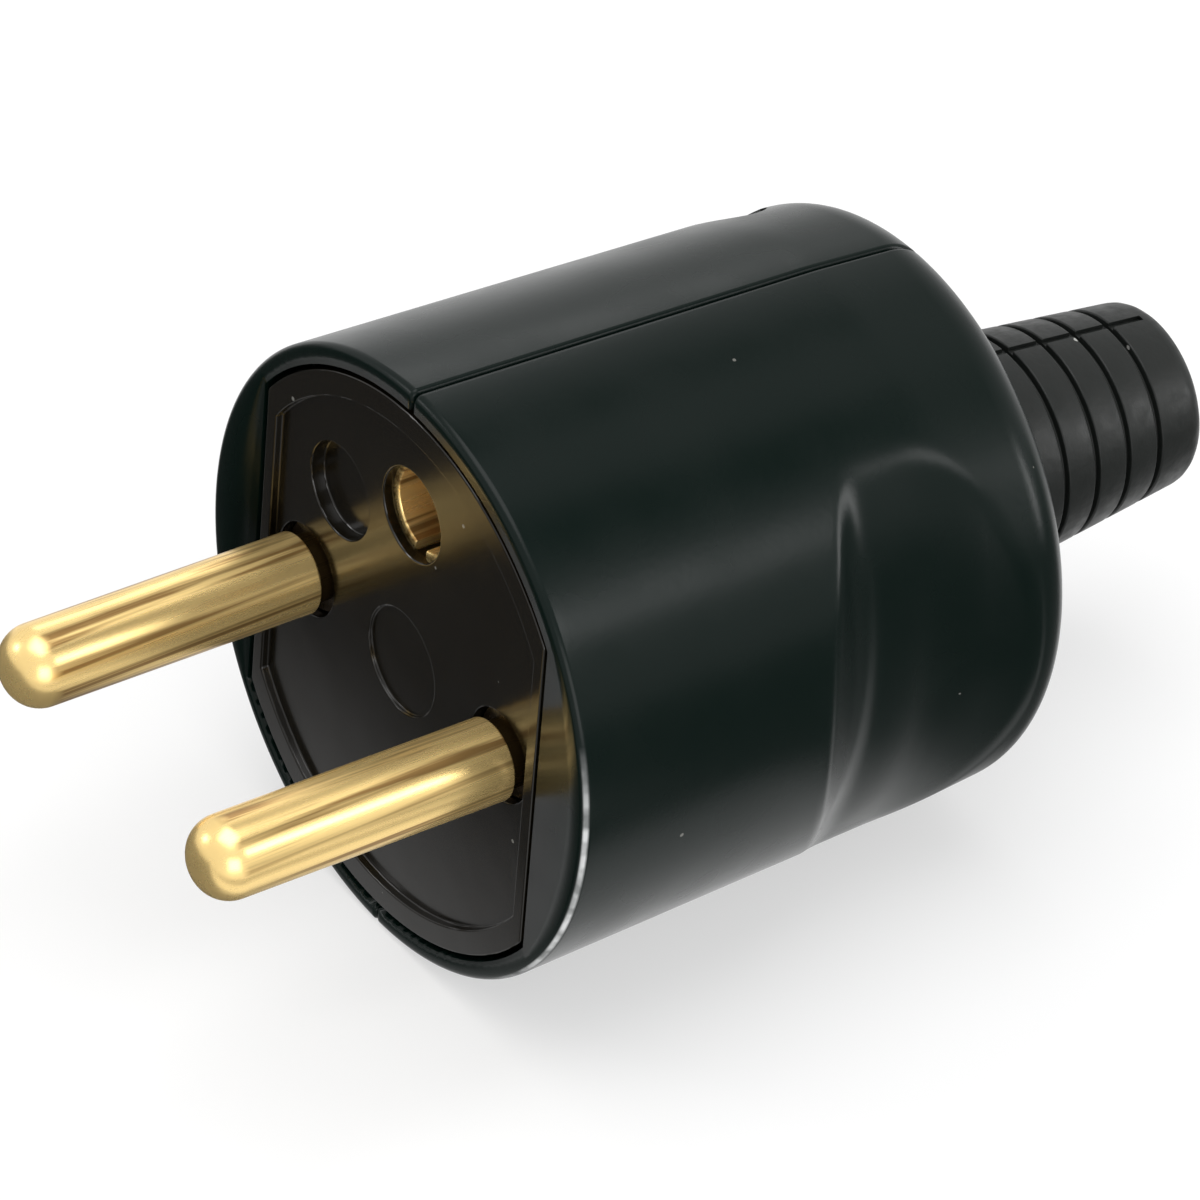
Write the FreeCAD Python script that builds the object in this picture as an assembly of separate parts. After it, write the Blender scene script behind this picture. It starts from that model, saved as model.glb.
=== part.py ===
import FreeCAD, Part
import math
import os

# Two-pin plug with an earth hole, lying on the seam of its tapered body. Lengths in millimetres.
# It is built along Y, from the engagement face at y = 0 back to the cord, with the pins in line
# along X and the seam of the two shells up Z. At the end every piece is laid down by the taper.

# Engagement side
pin_spacing = 19.0
pin_diameter = 4.8
pin_length = 19.0
pin_tip_flat = 0.6
earth_offset = 10.0
earth_pin_diameter = 4.8
earth_mouth_diameter = 5.5
earth_grip_depth = 14.8

# Body shells
front_radius = 18.3
rear_radius = 17.1
body_length = 34.5
rim_round = 0.5
shoulder_round = 3.2
shell_wall = 2.6
rear_wall = 2.4
seam_bevel = 0.2
cavity_round = 1.2

# Thumb recess, one on each shell
recess_front = 16.1
recess_rear = 31.9
recess_ramp = 2.4
recess_depth = 1.5
recess_half_width = 12.9
recess_blend = 3.0
recess_edge_round = 1.0

# Face plate and its flange
plate_rim = 1.5
plate_half_flat = 13.45
plate_thickness = 3.0
plate_gap = 0.32
plate_bevel = 0.25
border_width = 1.5
border_flat_width = 0.9
floor_depth = 0.5
flange_step = 0.8
flange_thickness = 2.0
flange_clearance = 0.1
blind_hole_x = -6.8
blind_hole_z = 7.2
blind_hole_diameter = 5.7
blind_hole_depth = 0.9
centre_mark_diameter = 6.4
centre_mark_depth = 0.25

# Contacts
contact_clearance = 0.05
pin_neck_radius = 2.0
pin_neck_end = 1.2
pin_root_radius = 2.7
pin_bore_bevel = 0.25
shoulder_radius = 4.2
shoulder_thickness = 1.6
barrel_radius = 3.2
barrel_length = 12.0
wire_hole_diameter = 2.8
wire_hole_depth = 8.0
terminal_screw_setback = 3.6
terminal_screw_diameter = 3.0
terminal_head_diameter = 5.2
terminal_head_height = 1.8
terminal_head_lift = 0.6
terminal_screw_end = 0.5
earth_tube_front = 1.3
earth_tube_wall = 0.6
earth_tube_clearance = 0.05
earth_web = 1.2
earth_wire_depth = 3.4
earth_slot_width = 1.0
earth_slot_length = 10.5
earth_screw_diameter = 2.5
earth_head_diameter = 4.2
earth_head_height = 1.5
earth_screw_setback = 1.8
spring_ring_wall = 0.55
spring_ring_width = 2.5
spring_ring_start = 8.0
spring_ring_slit = 0.8
spring_ring_clearance = 0.02

# Terminal block behind the plate
block_step = 2.1
block_base = 2.0
tower_wall = 1.3
tower_clearance = 0.1
pin_tower_length = 10.5
earth_tower_bore = 3.85
earth_tower_wall = 0.75
earth_tower_length = 12.3
tower_screw_gap = 0.3
tower_shell_gap = 0.3
block_screw_ring = 10.0
block_screw_half_angle = 48.0
block_screw_diameter = 2.4
block_screw_depth = 2.4
block_head_diameter = 4.2
block_head_height = 1.6

# Screws that hold the shells together, driven from the left
shell_screw_rear_gap = 0.4
shell_screw_z = 12.0
shell_screw_diameter = 3.0
shell_screw_reach = 5.0
shell_head_diameter = 5.4
shell_head_height = 1.8
shell_head_seat = 7.0
head_pocket_gap = 0.2
boss_radius = 3.0
head_boss_radius = 4.1
head_boss_floor = 1.6
insert_radius = 2.1
insert_length = 4.5
insert_clearance = 0.02
shank_gap = 0.15

# Cord clamp across the cord channel
clamp_gap = 0.3
clamp_width = 5.2
clamp_screw_z = 6.2
clamp_end_margin = 2.4
clamp_leg = 3.0
clamp_arch_wall = 1.4
clamp_ridge_height = 0.5
clamp_ridge_width = 0.7
cord_channel_radius = 3.4
clamp_screw_diameter = 2.5
clamp_screw_length = 9.0
clamp_head_diameter = 4.2
clamp_head_height = 1.7
post_half_width = 2.9
post_web = 1.6
nut_side = 4.2
nut_thickness = 1.8
nut_depth = 3.0
nut_clearance = 0.1

# Rubber cable sleeve
sleeve_bore_radius = 3.9
sleeve_neck_radius = 6.2
sleeve_neck_clearance = 0.1
sleeve_flange_radius = 8.6
sleeve_flange_thickness = 1.3
sleeve_base_radius = 7.4
sleeve_end_radius = 5.4
sleeve_length = 17.5
sleeve_end_round = 1.3
sleeve_ring_pitch = 2.4
sleeve_groove_width = 0.4
sleeve_groove_depth = 0.5
sleeve_flange_round = 0.3
sleeve_line_width = 0.45
sleeve_line_depth = 0.25

# Screw heads
head_round = 0.4
slot_width = 0.8
slot_depth = 0.9
cross_width = 0.9
cross_length_share = 0.66
cross_depth = 1.0

# Worked out from the sizes above. A cutter runs past the faces it opens by the length past,
# and a large one by the length beyond.
pin_radius = pin_diameter / 2
plate_radius = front_radius - plate_rim
flange_radius = plate_radius - flange_step
block_radius = flange_radius - block_step
flange_back = plate_thickness + flange_thickness
shoulder_front = flange_back - shoulder_thickness
barrel_end = flange_back + barrel_length
block_front = flange_back
block_back = block_front + block_base
earth_bore_radius = earth_pin_diameter / 2 + contact_clearance
earth_tube_radius = earth_bore_radius + earth_tube_wall
earth_end = earth_grip_depth + earth_web + earth_wire_depth
sleeve_flange_back = body_length - rear_wall
sleeve_flange_front = sleeve_flange_back - sleeve_flange_thickness
clamp_y = sleeve_flange_front - clamp_gap - clamp_width / 2
shell_screw_y = body_length - rear_wall - shell_screw_rear_gap - boss_radius
block_screw_angles = {"lower": -90, "left": 90 + block_screw_half_angle,
                      "right": 90 - block_screw_half_angle}
taper_angle = math.degrees(math.atan((front_radius - rear_radius) / body_length))
beyond = 5.0
past = 1.0
touching = 1e-4
origin = FreeCAD.Vector(0, 0, 0)
along_x = FreeCAD.Vector(1, 0, 0)
along_y = FreeCAD.Vector(0, 1, 0)
along_z = FreeCAD.Vector(0, 0, 1)
contacts = {"left": -pin_spacing / 2, "right": pin_spacing / 2}
levels = {"upper": 1, "lower": -1}


def vec(x, y, z):
    return FreeCAD.Vector(x, y, z)


def body_radius(y):
    return front_radius - (front_radius - rear_radius) * y / body_length


def cavity_radius(y):
    return body_radius(y) - shell_wall


# Outlines with rounded corners
def corner_arc(before, here, after, radius):
    corner = vec(here[0], here[1], 0)
    if radius == 0:
        return corner, None, corner
    to_before = (vec(before[0], before[1], 0) - corner).normalize()
    to_after = (vec(after[0], after[1], 0) - corner).normalize()
    half_angle = to_before.getAngle(to_after) / 2
    bisector = (to_before + to_after).normalize()
    reach = radius / math.tan(half_angle)
    middle = corner + bisector * (radius / math.sin(half_angle) - radius)
    return corner + to_before * reach, middle, corner + to_after * reach


def outline_face(corners, place):
    """Face inside the corners (a, b) or (a, b, rounding); place turns (a, b) into a point."""
    count = len(corners)
    arcs = []
    for i, here in enumerate(corners):
        rounding = here[2] if len(here) > 2 else 0
        arcs.append(corner_arc(corners[i - 1], here, corners[(i + 1) % count], rounding))
    edges = []
    for i, (start, middle, end) in enumerate(arcs):
        if middle is not None:
            points = [place(p.x, p.y) for p in (start, middle, end)]
            edges.append(Part.Arc(*points).toShape())
        following = arcs[(i + 1) % count][0]
        if end.distanceToPoint(following) > touching:
            edges.append(Part.LineSegment(place(end.x, end.y), place(following.x, following.y)).toShape())
    return Part.Face(Part.Wire(edges))


def turned(corners, x=0.0, z=0.0, sweep=360):
    """Solid spun about a line along Y through (x, z) from corners (y, radius)."""
    face = outline_face(corners, lambda y, r: vec(x, y, z + r))
    return face.revolve(vec(x, 0, z), along_y, sweep)


def rod(radius, length, start, direction):
    return Part.makeCylinder(radius, length, start, direction)


def block(x0, x1, y0, y1, z0, z1):
    return Part.makeBox(x1 - x0, y1 - y0, z1 - z0, vec(x0, y0, z0))


def double_d(radius, half_flat, y0, y1):
    disc = rod(radius, y1 - y0, vec(0, y0, 0), along_y)
    return disc.common(block(-half_flat, half_flat, y0, y1, -radius, radius))


def mirrored(shape):
    return shape.mirror(origin, along_x)


# Screws: a head at the seat point, a shank along the unit vector drive and a recess in the head
def screw(seat, drive, shank_radius, shank_length, head_radius, head_height, crossed=False):
    head = rod(head_radius, head_height, seat - drive * head_height, drive)
    rims = [e for e in head.Edges if e.Length > head_radius and far_side(e, seat, drive, head_height)]
    head = head.makeFillet(head_round, rims)
    body = head.fuse(rod(shank_radius, shank_length, seat, drive)).removeSplitter()
    return body.cut(drive_recess(seat - drive * head_height, drive, head_radius, crossed))


def far_side(edge, seat, drive, head_height):
    middle = edge.CenterOfMass - seat
    return abs(middle.dot(drive) + head_height) < touching


def drive_recess(top, drive, head_radius, crossed):
    side = along_y if drive.x else along_x
    width = cross_width if crossed else slot_width
    depth = cross_depth if crossed else slot_depth
    half_length = head_radius * cross_length_share if crossed else head_radius + beyond
    bar = recess_bar(top, drive, side, width, depth, half_length)
    if crossed:
        bar = bar.fuse(recess_bar(top, drive, drive.cross(side), width, depth, half_length))
    return bar


def recess_bar(top, drive, side, width, depth, half_length):
    third = drive.cross(side)
    corners = []
    for a, b in ((-1, -1), (1, -1), (1, 1), (-1, 1)):
        corners.append(top - drive * beyond + side * (a * half_length) + third * (b * width / 2))
    face = Part.Face(Part.makePolygon(corners + corners[:1]))
    return face.extrude(drive * (beyond + depth))


# Body
def half_body():
    """Right half of the solid body, with bevelled seam edges."""
    corners = [(0, 0), (0, front_radius, rim_round), (body_length, rear_radius, shoulder_round),
               (body_length, 0)]
    half = turned(corners, sweep=180).removeSplitter()
    seam = [face for face in half.Faces if abs(face.CenterOfMass.x) < touching]
    return half.makeChamfer(seam_bevel, [edge for face in seam for edge in face.Edges])


def thumb_recess():
    """Dish-shaped cutter: sunk along the body, and round it on a wider circle than the body's."""
    across = body_radius((recess_front + recess_rear) / 2)
    floor_x = across - recess_depth
    edge_x = math.sqrt(across ** 2 - recess_half_width ** 2)
    centre = (floor_x + edge_x) / 2 - recess_half_width ** 2 / (2 * (floor_x - edge_x))
    front_end = (recess_front, body_radius(recess_front) - centre)
    front_foot = (recess_front + recess_ramp, body_radius(recess_front + recess_ramp) - recess_depth - centre)
    rear_foot = (recess_rear - recess_ramp, body_radius(recess_rear - recess_ramp) - recess_depth - centre)
    rear_end = (recess_rear, body_radius(recess_rear) - centre)
    corners = [run_on(front_foot, front_end), front_foot + (recess_blend,),
               rear_foot + (recess_blend,), run_on(rear_foot, rear_end)]
    face = outline_face(corners, lambda y, r: vec(centre, y, r))
    return face.revolve(vec(centre, 0, 0), along_y, 180)


def run_on(start, end):
    """Point past the end of a ramp, by its own length again and more."""
    reach = beyond / recess_ramp
    return tuple(b + (b - a) * reach for a, b in zip(start, end))


def cavity():
    inner_end = body_length - rear_wall
    corners = [(flange_back, 0), (flange_back, cavity_radius(flange_back)),
               (inner_end, cavity_radius(inner_end), cavity_round), (inner_end, 0)]
    return turned(corners)


def plate_seat():
    opening = double_d(plate_radius + plate_gap, plate_half_flat + plate_gap, -beyond, plate_thickness)
    groove = rod(flange_radius + flange_clearance, flange_thickness, vec(0, plate_thickness, 0), along_y)
    return opening.fuse(groove)


def sleeve_hole():
    return rod(sleeve_neck_radius + sleeve_neck_clearance, body_length, vec(0, flange_back, 0), along_y)


def tower_room():
    """Room round the terminal block's towers, where the cavity alone wouldn't clear them."""
    outside = barrel_radius + tower_clearance + tower_wall + tower_shell_gap
    depth = block_base + pin_tower_length + tower_shell_gap
    return [rod(outside, depth, vec(x, block_front, 0), along_y) for x in contacts.values()]


def lies_on(edge, solid):
    middle = edge.valueAt((edge.FirstParameter + edge.LastParameter) / 2)
    return solid.Shells[0].distToShape(Part.Vertex(middle))[0] < touching


def recessed_half():
    """Half body with its thumb recess, whose edge is the line where the recess meets the skin."""
    plain = half_body()
    recess = thumb_recess()
    half = plain.cut(recess)
    edge_line = [edge for edge in half.Edges if lies_on(edge, recess) and lies_on(edge, plain)]
    return half.makeFillet(recess_edge_round, edge_line)


def hollow_half():
    half = recessed_half()
    return half, half.cut(cavity().fuse([plate_seat(), sleeve_hole()] + tower_room()))


def shell_boss(level, radius, start_x):
    centre = vec(start_x, shell_screw_y, level * shell_screw_z)
    return rod(radius, front_radius - start_x, centre, along_x)


def clamp_post(level):
    z0, z1 = sorted((level * (clamp_screw_z - post_half_width), level * (clamp_screw_z + post_half_width)))
    y0, y1 = clamp_y - clamp_width / 2, clamp_y + clamp_width / 2
    return block(0, front_radius, y0, y1, z0, z1)


def nut_pocket(level):
    half = nut_side / 2 + nut_clearance
    middle = level * clamp_screw_z
    return block(nut_depth - nut_clearance, nut_depth + nut_thickness + nut_clearance,
                 clamp_y - clamp_width, clamp_y + half, middle - half, middle + half)


def cord_channel():
    start = vec(0, clamp_y - clamp_width / 2 - past, 0)
    return rod(cord_channel_radius, clamp_width + 2 * past, start, along_y)


def shell_right():
    outer, shell = hollow_half()
    saddle = block(0, front_radius, clamp_y - post_web / 2, clamp_y + post_web / 2,
                   -clamp_screw_z, clamp_screw_z)
    solids = [saddle]
    holes = [cord_channel()]
    for level in levels.values():
        solids += [shell_boss(level, boss_radius, 0), clamp_post(level)]
        insert_start = vec(-past, shell_screw_y, level * shell_screw_z)
        insert_bore = insert_radius + insert_clearance
        holes.append(rod(insert_bore, past + insert_length, insert_start, along_x))
        screw_bore = shell_screw_diameter / 2 + shank_gap
        holes.append(rod(screw_bore, past + shell_screw_reach + past, insert_start, along_x))
        clamp_start = vec(-past, clamp_y, level * clamp_screw_z)
        clamp_bore = clamp_screw_diameter / 2 + shank_gap
        holes.append(rod(clamp_bore, past + clamp_screw_length, clamp_start, along_x))
        holes.append(nut_pocket(level))
    inside = solids[0].fuse(solids[1:]).common(outer)
    return shell.fuse(inside).removeSplitter().cut(holes)


def shell_left():
    outer, shell = hollow_half()
    solids, holes = [], []
    head_boss_start = shell_head_seat - head_boss_floor
    for level in levels.values():
        solids += [shell_boss(level, boss_radius, 0), shell_boss(level, head_boss_radius, head_boss_start)]
        start = vec(-past, shell_screw_y, level * shell_screw_z)
        holes.append(rod(shell_screw_diameter / 2 + shank_gap, front_radius, start, along_x))
        seat = vec(shell_head_seat, shell_screw_y, level * shell_screw_z)
        holes.append(rod(shell_head_diameter / 2 + head_pocket_gap, front_radius, seat, along_x))
    inside = solids[0].fuse(solids[1:]).common(outer)
    return mirrored(shell.fuse(inside).removeSplitter().cut(holes))


# Face plate
def pin_carrier():
    plate = double_d(plate_radius, plate_half_flat, 0, plate_thickness)
    front_edges = [e for e in plate.Edges if e.BoundBox.YMax < touching]
    plate = plate.makeChamfer(plate_bevel, front_edges)
    carrier = plate.fuse(rod(flange_radius, flange_thickness, vec(0, plate_thickness, 0), along_y))
    floor_radius = plate_radius - border_width
    holes = [double_d(floor_radius, plate_half_flat - border_flat_width, -past, floor_depth)]
    bore = pin_root_radius + contact_clearance
    for x in contacts.values():
        holes.append(rod(bore, flange_back, vec(x, 0, 0), along_y))
        bevel_start = vec(x, floor_depth, 0)
        holes.append(Part.makeCone(bore + pin_bore_bevel, bore, pin_bore_bevel, bevel_start, along_y))
        holes.append(shoulder_pocket(x, 0))
    holes.append(rod(earth_mouth_diameter / 2, flange_back, vec(0, 0, earth_offset), along_y))
    tube_bore = earth_tube_radius + earth_tube_clearance
    tube_start = earth_tube_front - earth_tube_clearance
    holes.append(rod(tube_bore, flange_back, vec(0, tube_start, earth_offset), along_y))
    holes.append(shoulder_pocket(0, earth_offset))
    blind_start = vec(blind_hole_x, 0, blind_hole_z)
    holes.append(rod(blind_hole_diameter / 2, floor_depth + blind_hole_depth, blind_start, along_y))
    holes.append(rod(centre_mark_diameter / 2, floor_depth + centre_mark_depth, origin, along_y))
    for x, z in block_screw_places().values():
        pilot_start = vec(x, flange_back - block_screw_depth, z)
        holes.append(rod(block_screw_diameter / 2 + contact_clearance, flange_back, pilot_start, along_y))
    return carrier.removeSplitter().cut(holes)


def shoulder_pocket(x, z):
    start = vec(x, shoulder_front, z)
    return rod(shoulder_radius + contact_clearance, flange_back, start, along_y)


def block_screw_places():
    places = {}
    for name, angle in block_screw_angles.items():
        turn = math.radians(angle)
        places[name] = (block_screw_ring * math.cos(turn), block_screw_ring * math.sin(turn))
    return places


# Terminal block
def terminal_block():
    tower_bore = barrel_radius + tower_clearance
    tower_height = block_base + pin_tower_length
    through = block_base + 2 * past
    solids = [rod(block_radius, block_base, vec(0, block_front, 0), along_y)]
    holes = []
    for x in contacts.values():
        solids.append(rod(tower_bore + tower_wall, tower_height, vec(x, block_front, 0), along_y))
        holes.append(rod(tower_bore, tower_height + 2 * past, vec(x, block_front - past, 0), along_y))
        access = terminal_head_diameter / 2 + tower_screw_gap
        holes.append(rod(access, front_radius, vec(x, terminal_screw_y(), 0), along_z))
    earth_height = block_base + earth_tower_length
    earth_outside = earth_tower_bore + earth_tower_wall
    solids.append(rod(earth_outside, earth_height, vec(0, block_front, earth_offset), along_y))
    holes.append(rod(earth_tower_bore, earth_height, vec(0, block_back, earth_offset), along_y))
    base_bore = earth_tube_radius + earth_tube_clearance
    holes.append(rod(base_bore, through, vec(0, block_front - past, earth_offset), along_y))
    access = earth_head_diameter / 2 + tower_screw_gap
    holes.append(rod(access, front_radius, vec(0, earth_screw_y(), earth_offset), -along_x))
    for x, z in block_screw_places().values():
        screw_bore = block_screw_diameter / 2 + shank_gap
        holes.append(rod(screw_bore, through, vec(x, block_front - past, z), along_y))
    return solids[0].fuse(solids[1:]).removeSplitter().cut(holes)


def terminal_screw_y():
    return barrel_end - terminal_screw_setback


def earth_screw_y():
    return earth_end - earth_screw_setback


# Contacts
def pin(x):
    tip_round = pin_radius - pin_tip_flat / 2
    corners = [(-pin_length, 0), (-pin_length, pin_radius, tip_round), (0, pin_radius),
               (0, pin_neck_radius), (pin_neck_end, pin_neck_radius),
               (pin_neck_end, pin_root_radius), (shoulder_front, pin_root_radius),
               (shoulder_front, shoulder_radius), (flange_back, shoulder_radius),
               (flange_back, barrel_radius), (barrel_end, barrel_radius), (barrel_end, 0)]
    body = turned(corners, x=x)
    wire_start = vec(x, barrel_end - wire_hole_depth, 0)
    wire_hole = rod(wire_hole_diameter / 2, wire_hole_depth + past, wire_start, along_y)
    thread = rod(terminal_screw_diameter / 2 + contact_clearance, barrel_radius + past,
                 vec(x, terminal_screw_y(), 0), along_z)
    return body.cut([wire_hole, thread])


def terminal_screw(x):
    seat = vec(x, terminal_screw_y(), barrel_radius + terminal_head_lift)
    length = barrel_radius + terminal_head_lift - terminal_screw_end
    return screw(seat, -along_z, terminal_screw_diameter / 2, length,
                 terminal_head_diameter / 2, terminal_head_height)


def earth_contact():
    corners = [(earth_tube_front, 0), (earth_tube_front, earth_tube_radius),
               (shoulder_front, earth_tube_radius), (shoulder_front, shoulder_radius),
               (flange_back, shoulder_radius), (flange_back, earth_tube_radius),
               (earth_end, earth_tube_radius), (earth_end, 0)]
    body = turned(corners, z=earth_offset)
    socket = rod(earth_bore_radius, earth_grip_depth, vec(0, 0, earth_offset), along_y)
    half_slot = earth_slot_width / 2
    slot_reach = shoulder_radius + past
    slot = block(-half_slot, half_slot, earth_tube_front - past, earth_tube_front + earth_slot_length,
                 earth_offset - slot_reach, earth_offset + slot_reach)
    wire_start = vec(0, earth_end - earth_wire_depth, earth_offset)
    wire_hole = rod(wire_hole_diameter / 2, earth_wire_depth + past, wire_start, along_y)
    thread = rod(earth_screw_diameter / 2 + contact_clearance, earth_tube_radius + past,
                 vec(0, earth_screw_y(), earth_offset), -along_x)
    return body.cut([socket, slot, wire_hole, thread])


def earth_terminal_screw():
    seat = vec(-earth_tube_radius - terminal_head_lift / 2, earth_screw_y(), earth_offset)
    length = earth_tube_radius + terminal_head_lift / 2 - terminal_screw_end
    return screw(seat, along_x, earth_screw_diameter / 2, length,
                 earth_head_diameter / 2, earth_head_height)


def earth_spring_ring():
    inner = earth_tube_radius + spring_ring_clearance
    start = vec(0, spring_ring_start, earth_offset)
    ring = rod(inner + spring_ring_wall, spring_ring_width, start, along_y)
    ring = ring.cut(rod(inner, spring_ring_width, start, along_y))
    half = spring_ring_slit / 2
    slit = block(-half, half, spring_ring_start, spring_ring_start + spring_ring_width,
                 earth_offset - shoulder_radius, earth_offset)
    return ring.cut(slit)


def block_screw(x, z):
    seat = vec(x, block_back, z)
    length = block_base + block_screw_depth
    return screw(seat, -along_y, block_screw_diameter / 2, length, block_head_diameter / 2,
                 block_head_height, crossed=True)


# Shell fasteners
def shell_screw(level):
    seat = vec(-shell_head_seat, shell_screw_y, level * shell_screw_z)
    return screw(seat, along_x, shell_screw_diameter / 2, shell_head_seat + shell_screw_reach,
                 shell_head_diameter / 2, shell_head_height, crossed=True)


def shell_insert(level):
    start = vec(0, shell_screw_y, level * shell_screw_z)
    sleeve = rod(insert_radius, insert_length, start, along_x)
    return sleeve.cut(rod(shell_screw_diameter / 2 + contact_clearance, insert_length, start, along_x))


# Cord clamp
def cord_clamp_bar():
    half_length = clamp_screw_z + clamp_end_margin
    y0, y1 = clamp_y - clamp_width / 2, clamp_y + clamp_width / 2
    end_round = clamp_width / 2
    legs = block(-clamp_leg, 0, y0, y1, -half_length + end_round, half_length - end_round)
    solids = [rod(cord_channel_radius + clamp_arch_wall, clamp_width, vec(0, y0, 0), along_y)]
    for level in levels.values():
        end = vec(-clamp_leg, clamp_y, level * (half_length - end_round))
        solids.append(rod(end_round, clamp_leg, end, along_x))
    bar = legs.fuse(solids).common(block(-front_radius, 0, y0, y1, -half_length, half_length))
    ridge_start = vec(0, clamp_y - clamp_ridge_width / 2, 0)
    ridge = rod(cord_channel_radius + past, clamp_ridge_width, ridge_start, along_y)
    ridge_core = rod(cord_channel_radius - clamp_ridge_height, clamp_width, vec(0, y0, 0), along_y)
    ridge = ridge.cut(ridge_core).common(block(-front_radius, 0, y0, y1, -half_length, half_length))
    holes = [cord_channel()]
    for level in levels.values():
        start = vec(-front_radius, clamp_y, level * clamp_screw_z)
        holes.append(rod(clamp_screw_diameter / 2 + shank_gap, front_radius + past, start, along_x))
    return bar.removeSplitter().cut(holes).fuse(ridge).removeSplitter()


def clamp_screw(level):
    seat = vec(-clamp_leg, clamp_y, level * clamp_screw_z)
    return screw(seat, along_x, clamp_screw_diameter / 2, clamp_screw_length,
                 clamp_head_diameter / 2, clamp_head_height)


def clamp_nut(level):
    half = nut_side / 2
    middle = level * clamp_screw_z
    nut = block(nut_depth, nut_depth + nut_thickness, clamp_y - half, clamp_y + half,
                middle - half, middle + half)
    start = vec(nut_depth, clamp_y, middle)
    return nut.cut(rod(clamp_screw_diameter / 2 + contact_clearance, nut_thickness, start, along_x))


# Cable sleeve
def cable_sleeve():
    end = body_length + sleeve_length
    corners = [(sleeve_flange_front, sleeve_bore_radius),
               (sleeve_flange_front, sleeve_flange_radius, sleeve_flange_round),
               (sleeve_flange_back, sleeve_flange_radius), (sleeve_flange_back, sleeve_neck_radius),
               (body_length, sleeve_neck_radius), (body_length, sleeve_base_radius)]
    half = sleeve_groove_width / 2
    for y in sleeve_groove_places():
        groove_floor = sleeve_radius(y) - sleeve_groove_depth
        corners += [(y - half, sleeve_radius(y - half)), (y - half, groove_floor),
                    (y + half, groove_floor), (y + half, sleeve_radius(y + half))]
    corners += [(end, sleeve_radius(end), sleeve_end_round), (end, sleeve_bore_radius)]
    return turned(corners).cut([sleeve_line(level) for level in levels.values()])


def sleeve_radius(y):
    return sleeve_base_radius + (sleeve_end_radius - sleeve_base_radius) * (y - body_length) / sleeve_length


def sleeve_groove_places():
    """Middles of the ring grooves, counted back from the rounded end."""
    last = body_length + sleeve_length - sleeve_end_round - sleeve_ring_pitch
    count = int((last - body_length) / sleeve_ring_pitch)
    return [last - i * sleeve_ring_pitch for i in reversed(range(count))]


def sleeve_line(level):
    """Shallow moulding line along the outside of the sleeve, in the plane of the shells' seam."""
    y0, y1 = body_length, body_length + sleeve_length - sleeve_end_round
    half = sleeve_line_width / 2
    corners = [vec(-half, y0, level * (sleeve_radius(y0) - sleeve_line_depth)),
               vec(-half, y0, level * (sleeve_radius(y0) + past)),
               vec(-half, y1, level * (sleeve_radius(y1) + past)),
               vec(-half, y1, level * (sleeve_radius(y1) - sleeve_line_depth))]
    face = Part.Face(Part.makePolygon(corners + corners[:1]))
    return face.extrude(vec(sleeve_line_width, 0, 0))


# The whole plug
def pieces():
    made = {
        "shell_left": shell_left(),
        "shell_right": shell_right(),
        "pin_carrier": pin_carrier(),
        "terminal_block": terminal_block(),
        "earth_contact": earth_contact(),
        "earth_spring_ring": earth_spring_ring(),
        "earth_terminal_screw": earth_terminal_screw(),
        "cord_clamp_bar": cord_clamp_bar(),
        "cable_sleeve": cable_sleeve(),
    }
    for side, x in contacts.items():
        made[side + "_pin"] = pin(x)
        made[side + "_terminal_screw"] = terminal_screw(x)
    for name, (x, z) in block_screw_places().items():
        made["block_screw_" + name] = block_screw(x, z)
    for name, level in levels.items():
        made["shell_screw_" + name] = shell_screw(level)
        made["shell_insert_" + name] = shell_insert(level)
        made["clamp_screw_" + name] = clamp_screw(level)
        made["clamp_nut_" + name] = clamp_nut(level)
    return made


def lay_down(shape):
    """Turns the plug so that the lowest line of its taper is level."""
    laid = shape.copy()
    laid.rotate(origin, along_x, -taper_angle)
    return laid


os.makedirs("parts", exist_ok=True)
for node, shape in pieces().items():
    solid = lay_down(shape)
    solid.exportStep("parts/" + node + ".step")
    box = solid.BoundBox
    print(node, "solids", len(solid.Solids), "valid", solid.isValid(), "volume", round(solid.Volume, 2),
          "y", round(box.YMin, 2), round(box.YMax, 2), "z", round(box.ZMin, 2), round(box.ZMax, 2))
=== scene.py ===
"""Looks of a two-pin mains plug with an earth hole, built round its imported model.

Lengths in the sub-assembly classes are millimetres, in the plug's own straight frame: X along the
line of the pins, Y from the engagement face back to the cable sleeve, Z up the seam of the shells.
Each finished piece is laid down by the taper of the body and brought to metres.
"""

import logging
import math
from dataclasses import dataclass, field
from enum import Enum
from typing import Dict, List, Mapping, Optional, Sequence, Tuple

import bpy
import numpy as np
from mathutils import Matrix, Vector


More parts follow.
